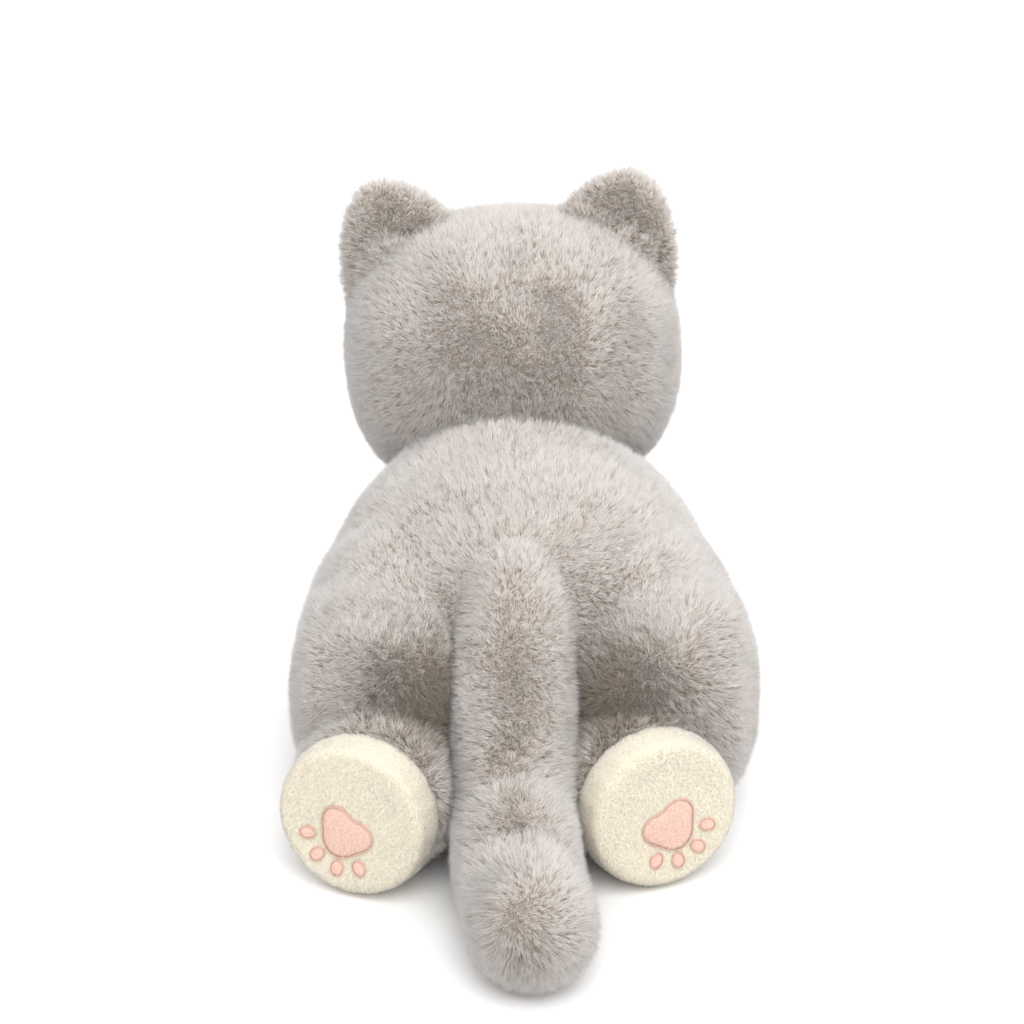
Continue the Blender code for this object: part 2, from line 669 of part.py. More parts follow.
def make_tail():
    base = tube("tail_base_skin", tail_base_stations(TAIL_RADIUS), FUR, sides=14)
    inner = TAIL_RADIUS - CLOTH
    base_hollow = tube("tail_base_hollow", tail_base_stations(inner), sides=14)
    room = Vector((TAIL_RADIUS + JOINT_GAP,) * 3)
    socket = ellipsoid("tail_socket", TAIL_KINK, room, pole="Y", detail=(18, 12))
    cut(base, base_hollow, socket)
    cut(tube("tail_base_stuffing", tail_base_stations(inner - FILL_GAP), FILLING, sides=12), socket)
    tip = tube("tail_tip_skin", tail_tip_stations(TAIL_RADIUS), FUR, sides=14)
    way = (TAIL_END - TAIL_KINK).normalized()
    mouth = rod("tail_tip_mouth", TAIL_KINK, -way, TAIL_MOUTH, TAIL_RADIUS / 2, TAIL_RADIUS * 2)
    cut(tip, tube("tail_tip_hollow", tail_tip_stations(inner), sides=14), mouth)
    tube("tail_tip_stuffing", tail_tip_stations(inner - FILL_GAP), FILLING, sides=12)


def make_cat():
    make_body()
    make_neck()
    frame = head_frame()
    make_head(frame)
    make_muzzle(frame)
    make_ears(frame)
    for word, side in SIDES:
        make_hind_leg(word, side)
        make_foreleg(word, side)
    make_tail()


make_cat()
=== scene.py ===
"""The looks of the plush cat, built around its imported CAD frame.

Each soft part gets a cloth skin made from its CAD solids, and strands of real pile rooted in that skin:
long warm grey fur on the body, short cream plush on the feet and muzzle, pink plush in the ears.
"""
import json
import math

import bmesh
import bpy
import numpy as np
from mathutils import Matrix, Vector
from mathutils.bvhtree import BVHTree
from mathutils.kdtree import KDTree


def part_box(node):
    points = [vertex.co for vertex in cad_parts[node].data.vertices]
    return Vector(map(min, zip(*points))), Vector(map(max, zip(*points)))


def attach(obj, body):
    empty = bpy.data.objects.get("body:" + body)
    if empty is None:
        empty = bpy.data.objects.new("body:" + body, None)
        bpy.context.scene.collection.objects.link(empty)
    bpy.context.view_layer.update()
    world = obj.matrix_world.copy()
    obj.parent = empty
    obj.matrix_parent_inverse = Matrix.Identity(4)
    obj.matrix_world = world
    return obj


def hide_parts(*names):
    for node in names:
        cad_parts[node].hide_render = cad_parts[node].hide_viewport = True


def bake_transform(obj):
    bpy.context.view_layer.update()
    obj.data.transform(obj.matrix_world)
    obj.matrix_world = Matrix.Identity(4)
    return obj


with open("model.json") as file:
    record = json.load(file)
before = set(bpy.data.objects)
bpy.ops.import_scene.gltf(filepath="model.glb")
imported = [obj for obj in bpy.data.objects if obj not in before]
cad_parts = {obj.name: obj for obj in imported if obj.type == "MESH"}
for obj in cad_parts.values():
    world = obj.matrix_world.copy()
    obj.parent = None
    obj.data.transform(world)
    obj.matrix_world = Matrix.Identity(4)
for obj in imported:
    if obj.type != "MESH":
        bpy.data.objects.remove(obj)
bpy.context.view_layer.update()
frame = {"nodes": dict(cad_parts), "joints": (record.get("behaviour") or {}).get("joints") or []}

SIDES = (("left", 1), ("right", -1))
PIVOT = {joint["name"]: Vector(joint["pos_m"]) for joint in frame["joints"]}

# Pile: length, strands per square metre, width at the root
FUR_LENGTH = 0.0085
FUR_DENSITY = 3.3e6
FUR_WIDTH = 0.00036
OUTER_TRIM = 0.0025     # how much slimmer the left haunch is on its outside
UNDERFUR = 0.0036       # how far dense underfur holds the strands' roots off the cloth
EAR_PILE = 0.0075
FACE_PILE = 0.0042
BELLY_PILE = 0.0035
NAP_LENGTH = 0.0010
NAP_DENSITY = 3.4e6
NAP_WIDTH = 0.0006
PAD_NAP = 0.0006
THREAD_RADIUS = 0.00035
STRAND_LIMIT = 60000    # strands in one piece
FLOOR_CLEARANCE = 0.0004

# Feet: the rolled seam round a sole, and how deep the sole is dished inside it
RIM_RADIUS = 0.0020
DISH_DEPTH = 0.0013
PAD_CROWN = 0.0013
PAD_RINGS = 6
PAD_STEPS = 48

# Forms that fill the torso's skin between the body and the legs: half sizes
HIP_FORM = (0.042, 0.057, 0.057)
FLANK_FORM = (0.048, 0.078, 0.057)
SHOULDER_FORM = (0.030, 0.048, 0.048)
NAPE_FORM = (0.065, 0.050, 0.056)
RUMP_FORM = (0.062, 0.040, 0.068)
EAR_BASE_FORM = (0.020, 0.011, 0.038)
TAIL_BEND_FORM = (0.026, 0.032, 0.032)


# ---- Meshes ----------------------------------------------------------------------------------

def add_object(name, mesh, mat=None):
    obj = bpy.data.objects.new(name, mesh)
    bpy.context.scene.collection.objects.link(obj)
    if mat:
        mesh.materials.clear()
        mesh.materials.append(mat)
    return obj


def bake_modifiers(obj):
    """Makes the object's evaluated mesh its own."""
    graph = bpy.context.evaluated_depsgraph_get()
    mesh = bpy.data.meshes.new_from_object(obj.evaluated_get(graph))
    old = obj.data
    obj.modifiers.clear()
    obj.data = mesh
    bpy.data.meshes.remove(old)
    return obj


def middle(node):
    low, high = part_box(node)
    return (low + high) / 2


def half_size(node):
    low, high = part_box(node)
    return (high - low) / 2


def gathered(name, nodes, forms=(), rings=()):
    """One object of copies of CAD nodes, ellipsoids (centre, half sizes) and rings (centre, way, radius)."""
    bm = bmesh.new()
    for node in nodes:
        bm.from_mesh(frame["nodes"][node].data)
    for centre, half in forms:
        place = Matrix.Translation(centre) @ Matrix.Diagonal((*half, 1))
        bmesh.ops.create_icosphere(bm, subdivisions=4, radius=1, matrix=place)
    for centre, way, radius in rings:
        bpy.ops.mesh.primitive_torus_add(major_radius=radius, minor_radius=RIM_RADIUS, major_segments=64)
        ring = bpy.context.object
        ring.data.transform(Matrix.Translation(centre) @ way.to_track_quat("Z", "Y").to_matrix().to_4x4())
        bm.from_mesh(ring.data)
        bpy.data.objects.remove(ring)
    mesh = bpy.data.meshes.new(name)
    bm.to_mesh(mesh)
    bm.free()
    return add_object(name, mesh)


def skin(name, nodes, voxel, rounds, mat, forms=(), rings=(), swell=0.0):
    """A closed smooth cloth skin over CAD nodes: their union, remeshed, smoothed and swelled."""
    obj = gathered(name, nodes, forms, rings)
    remesh = obj.modifiers.new("Remesh", "REMESH")
    remesh.mode = "VOXEL"
    remesh.voxel_size = voxel
    smooth = obj.modifiers.new("Smooth", "SMOOTH")
    smooth.iterations = rounds
    bake_modifiers(obj)
    points, normals = vertex_arrays(obj.data)
    amount = swell(points) if callable(swell) else np.full(len(points), swell)
    points += normals * amount[:, None]
    points[:, 2] = np.maximum(points[:, 2], FLOOR_CLEARANCE)
    obj.data.vertices.foreach_set("co", points.astype(np.float32).ravel())
    obj.data.update()
    obj.data.shade_smooth()
    obj.data.materials.clear()
    obj.data.materials.append(mat)
    return obj


def vertex_arrays(mesh):
    """(points, normals) of a mesh's vertices."""
    count = len(mesh.vertices)
    points, normals = np.zeros(count * 3, np.float32), np.zeros(count * 3, np.float32)
    mesh.vertices.foreach_get("co", points)
    mesh.vertices.foreach_get("normal", normals)
    return points.reshape(-1, 3).astype(float), normals.reshape(-1, 3).astype(float)


def tree_of(obj):
    mesh = obj.data
    return BVHTree.FromPolygons([v.co for v in mesh.vertices], [p.vertices for p in mesh.polygons])


def height_over(points, tree):
    """Signed distance of each point from a closed skin: negative inside it."""
    out = np.empty(len(points))
    for i, point in enumerate(points):
        place, normal, _, distance = tree.find_nearest(point)
        outside = (Vector(point) - place).dot(normal) > 0
        out[i] = distance if outside else -distance
    return out


# ---- Fur -------------------------------------------------------------------------------------

def unit(rows):
    return rows / np.maximum(np.linalg.norm(rows, axis=1), 1e-9)[:, None]


def scattered(obj, density, rng):
    """Random points on a skin, with the smooth normals there, at density points per square metre."""
    mesh = obj.data
    mesh.calc_loop_triangles()
    corners = np.zeros(len(mesh.loop_triangles) * 3, np.int32)
    mesh.loop_triangles.foreach_get("vertices", corners)
    corners = corners.reshape(-1, 3)
    points, normals = vertex_arrays(mesh)
    a, b, c = (points[corners[:, k]] for k in range(3))
    area = np.linalg.norm(np.cross(b - a, c - a), axis=1) / 2
    count = int(area.sum() * density)
    pick = np.searchsorted(np.cumsum(area) / area.sum(), rng.random(count))
    pick = np.minimum(pick, len(area) - 1)
    u, v = rng.random(count), rng.random(count)
    flip = u + v > 1
    u[flip], v[flip] = 1 - u[flip], 1 - v[flip]
    share = np.stack([1 - u - v, u, v], 1)
    on = sum(share[:, k, None] * points[corners[pick, k]] for k in range(3))
    way = unit(sum(share[:, k, None] * normals[corners[pick, k]] for k in range(3)))
    return on, way


def ripple(points, size, seed):
    """A smooth random vector field, about -1 to 1, that changes over the given size."""
    rng = np.random.default_rng(seed)
    total = np.zeros_like(points)
    waves = 9
    for _ in range(waves):
        wave = unit(rng.normal(size=(1, 3)))[0] * (2 * math.pi / size) * rng.uniform(0.6, 1.4)
        total += np.sin(points @ wave + rng.uniform(0, 2 * math.pi))[:, None] * rng.normal(size=3)
    return total / math.sqrt(waves)


def nearest_of(points, centres):
    tree = KDTree(len(centres))
    for i, centre in enumerate(centres):
        tree.insert(centre, i)
    tree.balance()
    return np.array([tree.find(point)[1] for point in points])


def pile(name, roots, normals, mat, seed, length, width, lean=(0, 0, 0), messy=0.28, tuft=0.0028,
         gather=0.36, waves=0.28, shade=0.0):
    """Strands of pile as pieces of three-sided spikes, each bent towards the tip of its tuft.

    length may be one number or one per root; lean tilts the pile, messy tilts single strands, waves
    tilts it in patches, tuft is the spacing of the tufts, gather how far tips close up, and shade
    makes strands darker (below 0) or lighter."""
    rng = np.random.default_rng(seed)
    count = len(roots)
    length = np.broadcast_to(np.asarray(length, float), (count,)) * rng.uniform(0.78, 1.12, count)
    lean = np.broadcast_to(np.asarray(lean, float), (count, 3))
    way = normals + lean + waves * ripple(roots, 0.045, seed + 1)
    way = unit(way + messy * rng.normal(size=(count, 3)))
    tips = roots + way * length[:, None]
    tufts = max(2, int(count / max(1.0, tuft_share(roots, tuft))))
    centres = rng.choice(count, min(tufts, count), replace=False)
    group = nearest_of(roots, roots[centres])
    heart = centres[group]
    tuft_way = unit(way[heart] + 0.18 * rng.normal(size=(len(centres), 3))[group])
    tuft_tip = roots[heart] + tuft_way * length[:, None]
    tips += gather * (tuft_tip - tips)
    bases = roots - normals * 0.0006
    # shade adds painted shade in creases, and darker tone at whorls and along the tail's top, to each
    # strand's tint.
    tint = 0.58 + 0.15 * rng.normal(size=count) + 0.11 * rng.normal(size=len(centres))[group] + shade
    tint = np.clip(tint, 0.02, 0.98)
    width = width * rng.uniform(0.75, 1.2, count)
    pieces = []
    longest = int(np.argmax(np.ptp(roots, axis=0)))
    shares = np.array_split(np.argsort(roots[:, longest]), math.ceil(count / STRAND_LIMIT))
    for number, rows in enumerate(shares, 1):
        piece = f"{name}_{number}" if len(shares) > 1 else name
        pieces.append(spikes(piece, bases[rows], tips[rows], width[rows], tint[rows], mat, rng))
    return pieces


def tuft_share(roots, tuft):
    """How many roots one tuft of the given spacing holds, from the roots' own spacing."""
    sample = roots[:: max(1, len(roots) // 400)]
    tree = KDTree(len(roots))
    for i, root in enumerate(roots):
        tree.insert(root, i)
    tree.balance()
    return float(np.mean([len(tree.find_range(point, tuft / 2)) for point in sample]))


def spikes(name, bases, tips, width, tint, mat, rng):
    """One mesh of thin three-sided spikes, with their tint and height kept in the UV layer."""
    count = len(bases)
    axis = unit(tips - bases)
    across = unit(np.cross(axis, rng.normal(size=(count, 3))))
    other = np.cross(axis, across)
    rows = []
    for k in range(3):
        turn = 2 * math.pi * k / 3
        arm = across * math.cos(turn) + other * math.sin(turn)
        rows.append(bases + arm * (width / 2)[:, None])
    rows.append(tips)
    verts = np.stack(rows, 1)
    verts[:, :, 2] = np.maximum(verts[:, :, 2], FLOOR_CLEARANCE)
    pattern = np.array([0, 1, 3, 1, 2, 3, 2, 0, 3])
    loops = (pattern[None, :] + 4 * np.arange(count)[:, None]).ravel()
    mesh = bpy.data.meshes.new(name)
    mesh.vertices.add(count * 4)
    mesh.vertices.foreach_set("co", verts.astype(np.float32).ravel())
    mesh.loops.add(len(loops))
    mesh.loops.foreach_set("vertex_index", loops.astype(np.int32))
    mesh.polygons.add(count * 3)
    mesh.polygons.foreach_set("loop_start", np.arange(0, count * 9, 3, dtype=np.int32))
    height = np.array([0.02, 0.02, 0.02, 0.98])
    uv = np.stack([np.repeat(tint, len(pattern)), np.tile(height[pattern], count)], 1)
    mesh.uv_layers.new(name="OFBake").data.foreach_set("uv", uv.astype(np.float32).ravel())
    mesh.update(calc_edges=True)
    mesh.shade_smooth()
    return add_object(name, mesh, mat)


# ---- Materials -------------------------------------------------------------------------------

def new_material(name, roughness=0.9):
    mat = bpy.data.materials.new(name)
    mat.use_nodes = True
    shader = mat.node_tree.nodes["Principled BSDF"]
    shader.inputs["Roughness"].default_value = roughness
    return mat, shader


def ramp(mat, source, stops):
    node = mat.node_tree.nodes.new("ShaderNodeValToRGB")
    mat.node_tree.links.new(source, node.inputs["Fac"])
    elements = node.color_ramp.elements
    while len(elements) < len(stops):
        elements.new(0.5)
    for element, (place, colour) in zip(elements, stops):
        element.position = place
        element.color = (*colour, 1)
    return node.outputs["Color"]


def srgb(red, green, blue):
    """Linear colour from the 0 to 255 values a colour picker shows."""
    def linear(value):
        value /= 255
        return value / 12.92 if value <= 0.04045 else ((value + 0.055) / 1.055) ** 2.4
    return linear(red), linear(green), linear(blue)


def pile_material(name, root, body, tip, sheen=0.25, spread=0.16):
    """Strand colour from root to tip, with each strand a little lighter or darker than the next."""
    mat, shader = new_material(name, 0.85)
    nodes, links = mat.node_tree.nodes, mat.node_tree.links
    uv = nodes.new("ShaderNodeUVMap")
    uv.uv_map = "OFBake"
    split = nodes.new("ShaderNodeSeparateXYZ")
    links.new(uv.outputs["UV"], split.inputs[0])
    colour = ramp(mat, split.outputs["Y"], ((0.0, root), (0.45, body), (0.95, tip)))
    dark = tuple(1 - spread * k for k in (1.0, 1.06, 1.14))
    faint = tuple(1 - 0.16 * (1 - part) for part in dark)
    tints = ramp(mat, split.outputs["X"], ((0.0, dark), (0.38, faint), (0.62, (1, 1, 1))))
    mix = nodes.new("ShaderNodeMix")
    mix.data_type = "RGBA"
    mix.blend_type = "MULTIPLY"
    mix.inputs[0].default_value = 1
    links.new(colour, mix.inputs[6])
    links.new(tints, mix.inputs[7])
    links.new(mix.outputs[2], shader.inputs["Base Color"])
    shader.inputs["Sheen Weight"].default_value = sheen
    shader.inputs["Specular IOR Level"].default_value = 0.25
    return mat


def speckle(mat, shader, colour, dark, size, height, strength=1.0):
    """Fine noise in a material's colour, down to dark times it, and in its bump."""
    nodes, links = mat.node_tree.nodes, mat.node_tree.links
    place = nodes.new("ShaderNodeTexCoord")
    noise = nodes.new("ShaderNodeTexNoise")
    noise.inputs["Scale"].default_value = size
    links.new(place.outputs["Object"], noise.inputs["Vector"])
    darker = tuple(dark * c for c in colour)
    links.new(ramp(mat, noise.outputs["Fac"], ((0.3, darker), (0.7, colour))), shader.inputs["Base Color"])
    bump = nodes.new("ShaderNodeBump")
    bump.inputs["Strength"].default_value = strength
    bump.inputs["Distance"].default_value = height
    links.new(noise.outputs["Fac"], bump.inputs["Height"])
    links.new(bump.outputs["Normal"], shader.inputs["Normal"])
    return mat


def cloth_material(name, colour, thread=1400):
    """Backing cloth or sewing thread: the fine roughness of its threads in colour and bump."""
    return speckle(*new_material(name, 0.95), colour, 0.75, thread, 0.0003)


def plastic_material(name, colour, roughness):
    """Moulded plastic: faint specks in its colour and a fine grain in its shine."""
    return speckle(*new_material(name, roughness), colour, 0.85, 900, 0.0001, strength=0.15)


def eye_material(name, centre, radius):
    """Clear-coated eye: black pupil, brown iris with a darker edge, by distance from the eye's middle."""
    mat, shader = new_material(name, 0.12)
    nodes, links = mat.node_tree.nodes, mat.node_tree.links
    place = nodes.new("ShaderNodeTexCoord")
    away = nodes.new("ShaderNodeVectorMath")
    away.operation = "DISTANCE"
    away.inputs[1].default_value = centre
    links.new(place.outputs["Object"], away.inputs[0])
    share = nodes.new("ShaderNodeMath")
    share.operation = "DIVIDE"
    share.inputs[1].default_value = radius
    links.new(away.outputs["Value"], share.inputs[0])
    black, brown, amber = srgb(8, 7, 6), srgb(70, 38, 16), srgb(128, 78, 30)
    stops = ((0.0, black), (0.52, black), (0.58, amber), (0.80, brown), (0.92, black))
    links.new(ramp(mat, share.outputs[0], stops), shader.inputs["Base Color"])
    shader.inputs["Coat Weight"].default_value = 1
    shader.inputs["Coat Roughness"].default_value = 0.03
    return mat


FUR = pile_material("warm_grey_fur", srgb(188, 176, 164), srgb(226, 218, 211), srgb(247, 244, 242),
                    spread=0.62)
CREAM = pile_material("cream_plush", srgb(234, 226, 207), srgb(240, 233, 218), srgb(247, 242, 232),
                      spread=0.12)
LINING = pile_material("pink_plush", srgb(214, 184, 172), srgb(232, 206, 196), srgb(244, 226, 218),
                       spread=0.08)
PAD = pile_material("pad_plush", srgb(232, 196, 182), srgb(240, 208, 195), srgb(246, 220, 210), spread=0.08)
BACKING = cloth_material("fur_backing", srgb(196, 184, 171))
CREAM_CLOTH = cloth_material("cream_backing", srgb(234, 225, 204))
PINK_CLOTH = cloth_material("pink_backing", srgb(238, 200, 184))
THREAD = cloth_material("sewing_thread", srgb(230, 186, 168), thread=4000)
DARK_THREAD = cloth_material("mouth_thread", srgb(120, 88, 78), thread=4000)
NOSE_PLASTIC = plastic_material("nose_plastic", srgb(206, 150, 140), 0.35)
WASHER_PLASTIC = plastic_material("washer_plastic", srgb(225, 225, 220), 0.5)


# ---- Skins -----------------------------------------------------------------------------------

def make_torso(nodes):
    """The body's skin, grown to meet the legs' skins at the hips, flanks, shoulders, rump and nape."""
    forms = []
    for word, side in SIDES:
        hip = PIVOT[f"hind_leg_lift_{word}"].copy()
        hip.x = middle(f"hind_leg_skin_{word}").x
        forms.append((hip, HIP_FORM))
        forms.append((hip + Vector((-0.010 * side, -0.032, 0.0125)), FLANK_FORM))
        forms.append((PIVOT[f"foreleg_lift_{word}"], SHOULDER_FORM))
    centre = middle("body_stuffing").x
    forms.append((Vector((centre + 0.003, -0.060, 0.110)), NAPE_FORM))
    forms.append((Vector((centre, 0.045, 0.075)), RUMP_FORM))
    return skin("torso_skin", nodes, 0.0040, 14, BACKING, forms, swell=0.0012 + UNDERFUR)


def foot_plane(leg, word):
    """(point, direction) of the start of a foot's cream cap; the direction points out of the sole."""
    if leg == "foreleg":
        cap, way = "front_paw_cap", Vector((0, -1, 0))
    else:
        cap = "hind_foot_cap"
        points, _ = vertex_arrays(frame["nodes"][f"hind_sole_{word}"].data)
        _, _, axes = np.linalg.svd(points - points.mean(0), full_matrices=False)
        way = Vector(axes[2] if axes[2][1] >= 0 else -axes[2])
    points, _ = vertex_arrays(frame["nodes"][f"{cap}_{word}"].data)
    return way * float((points @ np.array(way)).min()), way


def past_plane(points, plane):
    """How far each point is past a plane, along its direction."""
    point, way = plane
    return (points - np.array(point)) @ np.array(way)


def ease(values, low, high):
    """0 at low, 1 at high, smooth between them."""
    share = np.clip((values - low) / (high - low), 0, 1)
    return share * share * (3 - 2 * share)


def leg_swell(leg, word):
    """Swell of a leg's skin: full underfur, less on the left haunch's outside, none at the foot."""
    plane = foot_plane(leg, word)

    def swell(points):
        slim = OUTER_TRIM * ease(points[:, 0], 0.065, 0.095)
        return UNDERFUR * ease(-past_plane(points, plane), -0.004, 0.008) - slim

    return swell


def ear_base(word, side):
    """A form that widens the ear's foot where it is sewn round the side of the head."""
    return PIVOT[f"ear_fold_{word}"] + Vector((side * 0.007, 0.006, -0.020)), EAR_BASE_FORM


def sole_frame(word):
    """(centre, outward direction, radius) of a round sole."""
    points, _ = vertex_arrays(frame["nodes"][f"hind_sole_{word}"].data)
    _, way = foot_plane("hind_leg", word)
    centre = Vector(points.mean(0))
    flat = (points - np.array(centre)) @ (np.eye(3) - np.outer(way, way))
    return centre, way, float(np.linalg.norm(flat, axis=1).max())


def sole_dish(word):
    """Swell of a foot's skin: pulled in over the sole, inside its rolled seam."""
    centre, way, radius = sole_frame(word)
    centre, way = np.array(centre), np.array(way)

    def swell(points):
        out = (points - centre) @ way
        around = np.linalg.norm(points - centre - out[:, None] * way, axis=1)
        dish = DISH_DEPTH * ease(radius - around, 0, RIM_RADIUS * 6) * ease(out, -0.003, 0)
        return 0.0004 - dish

    return swell


def settle(piece, body, slot, *replaced):
    """Fixes a piece to a body, in place of the CAD nodes it stands for; a tail piece only has its place baked
    into its points. The slot is not used.
    """
    if replaced:
        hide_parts(*replaced)
    if body == "tail":
        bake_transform(piece)
    else:
        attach(piece, body)


def make_skins():
    """All cloth skins as {part: object}, and where each one goes as {part: (body, slot, nodes)}."""
    skins, homes = {}, {}

    def keep(part, obj, body, slot, nodes):
        skins[part] = obj
        homes[part] = (body, slot, nodes)

    nodes = ["body_side_panel_left", "body_side_panel_right", "belly_panel", "body_stuffing"]
    keep("torso", make_torso(nodes), "body", "grey_fur", nodes)
    obj = skin("neck_skin", ["neck_stuffing"], 0.0040, 4, BACKING, swell=0.0045)
    keep("neck", obj, "neck", "grey_fur", ["neck_stuffing"])
    nodes = ["head_gusset", "head_side_panel_left", "head_side_panel_right", "head_stuffing"]
    obj = skin("head_skin", nodes, 0.0036, 8, BACKING, swell=0.001 + UNDERFUR)
    keep("head", obj, "head", "grey_fur", nodes)
    nodes = ["muzzle_panel", "muzzle_stuffing"]
    obj = skin("muzzle_cloth", nodes, 0.0024, 4, CREAM_CLOTH, swell=0.0004)
    keep("muzzle", obj, "head", "cream_minky", nodes)
    nodes = ["tail_base_skin", "tail_base_stuffing", "tail_tip_skin", "tail_tip_stuffing"]
    bend = PIVOT["tail_sway"] + Vector((-0.001, -0.004, 0.004))
    obj = skin("tail_cloth", nodes, 0.0036, 10, BACKING, [(bend, TAIL_BEND_FORM)], swell=0.0010)
    keep("tail", obj, "tail", "grey_fur", nodes)
    for word, side in SIDES:
        nodes = [f"ear_back_{word}"]
        obj = skin(f"ear_{word}_back_cloth", nodes, 0.0022, 22, BACKING, [ear_base(word, side)],
                   swell=UNDERFUR)
        keep(f"ear_{word}", obj, f"ear_{word}", "grey_fur", nodes)
        nodes = [f"ear_lining_{word}"]
        obj = skin(f"ear_{word}_lining_cloth", nodes, 0.0020, 2, PINK_CLOTH, swell=0.0004)
        keep(f"lining_{word}", obj, f"ear_{word}", "ear_lining", nodes)
        for leg in ("hind_leg", "foreleg"):
            nodes = [f"{leg}_skin_{word}", f"{leg}_stuffing_{word}"]
            obj = skin(f"{leg}_{word}_cloth", nodes, 0.0036, 4, BACKING, swell=leg_swell(leg, word))
            keep(f"{leg}_{word}", obj, f"{leg}_{word}", "grey_fur", nodes)
        centre, way, radius = sole_frame(word)
        nodes = [f"hind_foot_cap_{word}", f"hind_sole_{word}"]
        ring = (centre - way * 0.0010, way, radius)
        obj = skin(f"hind_foot_{word}_cloth", nodes, 0.0018, 7, CREAM_CLOTH, rings=(ring,),
                   swell=sole_dish(word))
        keep(f"hind_foot_{word}", obj, f"hind_leg_{word}", "cream_minky", nodes)
        nodes = [f"front_paw_cap_{word}"]
        obj = skin(f"front_paw_{word}_cloth", nodes, 0.0022, 4, CREAM_CLOTH, swell=0.0003)
        keep(f"front_paw_{word}", obj, f"foreleg_{word}", "cream_minky", nodes)
    return skins, homes


SKINS, HOMES = make_skins()
TREES = {name: tree_of(obj) for name, obj in SKINS.items()}


# ---- Pads and stitches -------------------------------------------------------------------------

def draped(tree, point, way, lift):
    """The point where a line along way meets a skin, lifted off it."""
    hit = tree.ray_cast(point + way * 0.03, -way)[0]
    return (hit or point) + way * lift


def thread(name, points, body, slot, mat, radius=THREAD_RADIUS, closed=False):
    """A line of small stitches through points: a cord that swells and thins once a stitch."""
    curve = bpy.data.curves.new(name, "CURVE")
    curve.dimensions = "3D"
    curve.bevel_depth = radius
    curve.bevel_resolution = 2
    curve.use_fill_caps = True
    line = curve.splines.new("POLY")
    line.points.add(len(points) - 1)
    line.use_cyclic_u = closed
    for i, (spot, point) in enumerate(zip(line.points, points)):
        spot.co = (*point, 1)
        spot.radius = 1.0 if i % 3 else 0.55
    curve.materials.append(mat)
    obj = bpy.data.objects.new(name, curve)
    bpy.context.scene.collection.objects.link(obj)
    settle(obj, body, slot)


def heart_outline(angle):
    """Main pad: a rounded triangle that points down, with two lobes at the top."""
    lobes = 1 + 0.12 * math.cos(3 * (angle + math.pi / 2))
    return lobes - 0.13 * math.exp(-((angle - math.pi / 2) / 0.38) ** 2)


def round_outline(angle):
    return 1.0


def make_pad(name, node, tree, way, up, outline, body):
    """A crowned pad sewn on a sole, draped over it, with short pile and a stitched edge."""
    centre, across = middle(node), up.cross(way)
    points, _ = vertex_arrays(frame["nodes"][node].data)
    reach = points - np.array(centre)
    wide = float(np.abs(reach @ np.array(across)).max())
    high = float(np.abs(reach @ np.array(up)).max())
    bm = bmesh.new()

    def spot(share, step, lift):
        angle = 2 * math.pi * step / PAD_STEPS
        angle = angle if angle <= math.pi * 1.5 else angle - 2 * math.pi
        size = share * outline(angle)
        flat = centre + across * (math.cos(angle) * size * wide) + up * (math.sin(angle) * size * high)
        return draped(tree, flat, way, lift)

    layers = [[bm.verts.new(spot(0, 0, PAD_CROWN))]]
    for ring in range(1, PAD_RINGS + 1):
        share = ring / PAD_RINGS
        lift = PAD_CROWN * math.sqrt(1 - share ** 2.5)
        layers.append([bm.verts.new(spot(share, step, lift)) for step in range(PAD_STEPS)])
    layers.append([bm.verts.new(spot(0.96, step, -0.0008)) for step in range(PAD_STEPS)])
    for step in range(PAD_STEPS):
        after = (step + 1) % PAD_STEPS
        bm.faces.new((layers[0][0], layers[1][step], layers[1][after]))
        for near, far in zip(layers[1:], layers[2:]):
            bm.faces.new((near[step], far[step], far[after], near[after]))
    bm.faces.new(reversed(layers[-1]))
    bmesh.ops.recalc_face_normals(bm, faces=bm.faces)
    mesh = bpy.data.meshes.new(name)
    bm.to_mesh(mesh)
    bm.free()
    obj = add_object(name, mesh, PINK_CLOTH)
    mesh.shade_smooth()
    edge = [spot(0.97, step, 0.0010) for step in range(PAD_STEPS)]
    roots, normals = scattered(obj, NAP_DENSITY, np.random.default_rng(len(name)))
    facing = normals @ np.array(way) > 0.2
    nap = pile(f"{name}_nap", roots[facing], normals[facing], PAD, 7, PAD_NAP, NAP_WIDTH, tuft=0.0012)
    settle(obj, body, "foot_pads", node)
    for piece in nap:
        settle(piece, body, "foot_pads")
    thread(f"{name}_stitching", edge, body, "foot_pads", THREAD, closed=True)


def make_pads():
    for word, _ in SIDES:
        tree, body = TREES[f"hind_foot_{word}"], f"hind_leg_{word}"
        _, way, _ = sole_frame(word)
        main = f"hind_main_pad_{word}"
        toes = [f"hind_toe_pad_{word}_{number}" for number in range(1, 5)]
        down = sum((middle(toe) for toe in toes), Vector()) / len(toes) - middle(main)
        up = -(down - way * down.dot(way)).normalized()
        make_pad(f"main_pad_{word}", main, tree, way, up, heart_outline, body)
        for number, toe in enumerate(toes, 1):
            outwards = middle(toe) - middle(main)
            toe_up = (outwards - way * outwards.dot(way)).normalized()
            make_pad(f"toe_pad_{word}_{number}", toe, tree, way, toe_up, round_outline, body)


def make_front_toes():
    """Three lines of stitching over the end of each front paw."""
    for word, _ in SIDES:
        low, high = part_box(f"front_paw_cap_{word}")
        centre, half = (low + high) / 2, (high - low) / 2
        for number, place in enumerate((-0.42, 0, 0.42), 1):
            inner = Vector((centre.x + place * half.x, low.y + half.z, centre.z))
            points = []
            for degrees in np.linspace(-15, 60, 19):
                angle = math.radians(degrees)
                way = Vector((place * 0.9, -math.cos(angle), math.sin(angle))).normalized()
                points.append(draped(TREES[f"front_paw_{word}"], inner, way, NAP_LENGTH * 0.6))
            name = f"front_toe_line_{word}_{number}"
            thread(name, points, f"foreleg_{word}", "cream_minky", THREAD, radius=0.0007)


